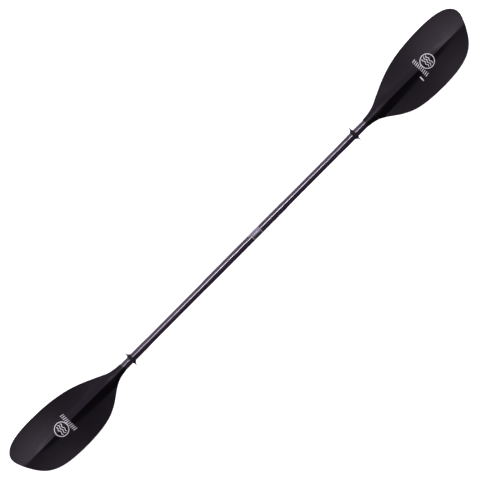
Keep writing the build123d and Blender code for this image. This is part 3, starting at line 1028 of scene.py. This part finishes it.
label_bed = collar_radius - LABEL_SEAT
collar_profile = [
    (collar_start, COLLAR_BORE), (collar_start, label_bed), (collar_end, label_bed),
    (collar_end, tube_bore), (collar_tail_end, tube_bore), (collar_tail_end, COLLAR_BORE),
]
collar = paint(lathe("collar_skin", rounded(collar_profile, COLLAR_EASING)), black_plastic)
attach(collar, "right_half")
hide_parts("index_collar")

label_ends, label_angles = span("scale_label"), turned_angles("scale_label")
label = wrapped("label_skin", label_ends, label_angles, collar_radius + LABEL_RISE)
paint(label, label_film)
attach(label, "right_half")
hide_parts("scale_label")

mark_ends, mark_angles = span("index_mark"), turned_angles("index_mark")
pointer = wrapped("pointer_skin", mark_ends, mark_angles, shaft_radius + MARK_RISE, steps=6)
paint(pointer, light_print)
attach(pointer, "left_half")
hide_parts("index_mark")

scale_print = paint(feather_scale(label_ends[0], *label_angles), scale_ink)
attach(scale_print, "right_half")

button = paint(snap_spring(), spring_steel)
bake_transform(button)
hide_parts("snap_button")

# ---- CAD nodes that keep their shape ----

kept = {
    "ferrule_liner": black_plastic, "spigot_tube": shaft_carbon, "spigot_end_cap": black_plastic,
    "spigot_o_ring": drip_rubber, "index_hub": black_plastic, "index_pin": spring_steel,
    "detent_housing": black_plastic, "detent_spring": spring_steel,
    "left_bulkhead_plug": plug_foam, "left_socket_plug": plug_foam,
    "right_bulkhead_plug": plug_foam, "right_socket_plug": plug_foam,
}
for node, material in kept.items():
    obj = frame["nodes"][node]
    if not obj.material_slots:
        obj.data.materials.append(material)
    for place in obj.material_slots:
        place.material = material

# ---- Floor, room, camera and lights ----

FLOOR_SIZE = 120.0
FLOOR_DROP = 0.45  # far enough below that no shadow's edge shows

# The room's brightness by direction, from the lower edge's side (-1) over the top to +Y (1)
ROOM = [(-1.0, 0.05), (-0.45, 0.02), (0.0, 0.07), (0.35, 1.0), (1.0, 1.05)]
ROOM_TINT = (1.0, 0.86, 1.12)

CAMERA_HEIGHT = 9.0
SENSOR_WIDTH = 36.0
VIEW_WIDTH = 1.6627  # what the camera takes in at the shaft's level
SHAFT_TURN = 45.2  # the shaft's angle in the camera's view
AIM = (0.0019, 0.0259)

KEY_ANGLE = 18.4  # the key light's lean towards the upper edge
KEY_DISTANCE = 8.3
KEY_X = 0.1
KEY_DEPTH = 0.73
KEY_LENGTH = 1.5
KEY_END_LENGTH = 0.6
KEY_END_OFFSET = 1.05
KEY_POWER = 225
KEY_END_POWER = 50
LAMP_PLACE = (5.5, 0.2, 1.5)
LAMP_AIM = (0, 0, -0.4)
LAMP_SIZE = (2.0, 2.0)
LAMP_POWER = 520
TIP_LIGHT_PLACE = (1.75, 0.25, 3.0)
TIP_LIGHT_AIM = (1.3, 0.1, 0)
TIP_LIGHT_SIZE = (1.4, 1.5)
TIP_LIGHT_POWER = 7


def floor():
    """A plain pale floor below the paddle."""
    mesh = bpy.data.meshes.new("floor")
    half, level = FLOOR_SIZE / 2, cad_low[2] - FLOOR_DROP
    corners = [(-half, -half), (half, -half), (half, half), (-half, half)]
    mesh.from_pydata([(x, y, level) for x, y in corners], [], [(0, 1, 2, 3)])
    obj = linked("floor", mesh)
    n = Nodes("pale_floor")
    colour = n.mix(n.noise(3.0, 3.0), (0.86, 0.86, 0.86), (0.89, 0.89, 0.89))
    paint(obj, n.set(colour=colour, rough=0.9, specular=0.1))
    obj.visible_glossy = False  # so that the shaft's edges mirror nothing pale


def area_light(name, place, aim, size, power, mirrored=True):
    """A soft box at place that faces aim; size is its width along X and its other width."""
    data = bpy.data.lights.new(name, "AREA")
    data.shape, data.size, data.size_y = "RECTANGLE", size[0], size[1]
    data.energy = power
    obj = linked(name, data)
    obj.location = place
    way = Vector(aim) - Vector(place)
    obj.rotation_euler = way.to_track_quat("-Z", "Y").to_euler()
    obj.visible_glossy = mirrored


def world():
    """A dim room that is paler on the upper edge's side."""
    made = bpy.data.worlds.new("room")
    made.use_nodes = True
    tree = made.node_tree
    background = tree.nodes["Background"]
    direction = tree.nodes.new("ShaderNodeTexCoord")
    split = tree.nodes.new("ShaderNodeSeparateXYZ")
    tree.links.new(direction.outputs["Generated"], split.inputs[0])
    share = tree.nodes.new("ShaderNodeMapRange")
    tree.links.new(split.outputs[1], share.inputs[0])
    for socket, number in zip(share.inputs[1:5], (-1.0, 1.0, 0.0, 1.0)):
        socket.default_value = number
    ramp = tree.nodes.new("ShaderNodeValToRGB")
    points = ramp.color_ramp.elements
    while len(points) < len(ROOM):
        points.new(0.5)
    for point, (where, tone) in zip(points, ROOM):
        point.position = (where + 1) / 2
        point.color = (*(tone * part for part in ROOM_TINT), 1)
    tree.links.new(share.outputs[0], ramp.inputs[0])
    tree.links.new(ramp.outputs[0], background.inputs[0])
    background.inputs[1].default_value = 1.0
    bpy.context.scene.world = made


def camera():
    """A long lens straight above the paddle, which lies across its view at an angle."""
    data = bpy.data.cameras.new("camera")
    data.sensor_width = SENSOR_WIDTH
    data.lens = SENSOR_WIDTH * CAMERA_HEIGHT / VIEW_WIDTH
    data.clip_end = 200.0
    obj = linked("camera", data)
    obj.location = (*AIM, CAMERA_HEIGHT)
    obj.rotation_euler = Euler((0, 0, radians(-SHAFT_TURN)))
    bpy.context.scene.camera = obj


def key_lights():
    """A long soft box above the paddle, carried on by a dimmer one at each end."""
    lean = radians(KEY_ANGLE)
    y, z = KEY_DISTANCE * sin(lean), KEY_DISTANCE * cos(lean)
    area_light("key", (KEY_X, y, z), (KEY_X, 0, 0), (KEY_LENGTH, KEY_DEPTH), KEY_POWER)
    for side, hand in (("left", -1), ("right", 1)):
        x = KEY_X + hand * KEY_END_OFFSET
        size = (KEY_END_LENGTH, KEY_DEPTH)
        area_light("key_end_" + side, (x, y, z), (x, 0, 0), size, KEY_END_POWER)


def side_lamps():
    """A lamp beyond each blade that lights the floor, and isn't mirrored by the paddle."""
    x, y, z = LAMP_PLACE
    for side, hand in (("right", 1), ("left", -1)):
        place = (hand * x, y, z)
        area_light(side + "_side", place, LAMP_AIM, LAMP_SIZE, LAMP_POWER, mirrored=False)


floor()
world()
camera()
key_lights()
side_lamps()
area_light("right_top", TIP_LIGHT_PLACE, TIP_LIGHT_AIM, TIP_LIGHT_SIZE, TIP_LIGHT_POWER)

view = bpy.context.scene.view_settings
view.view_transform, view.look = "Standard", "None"
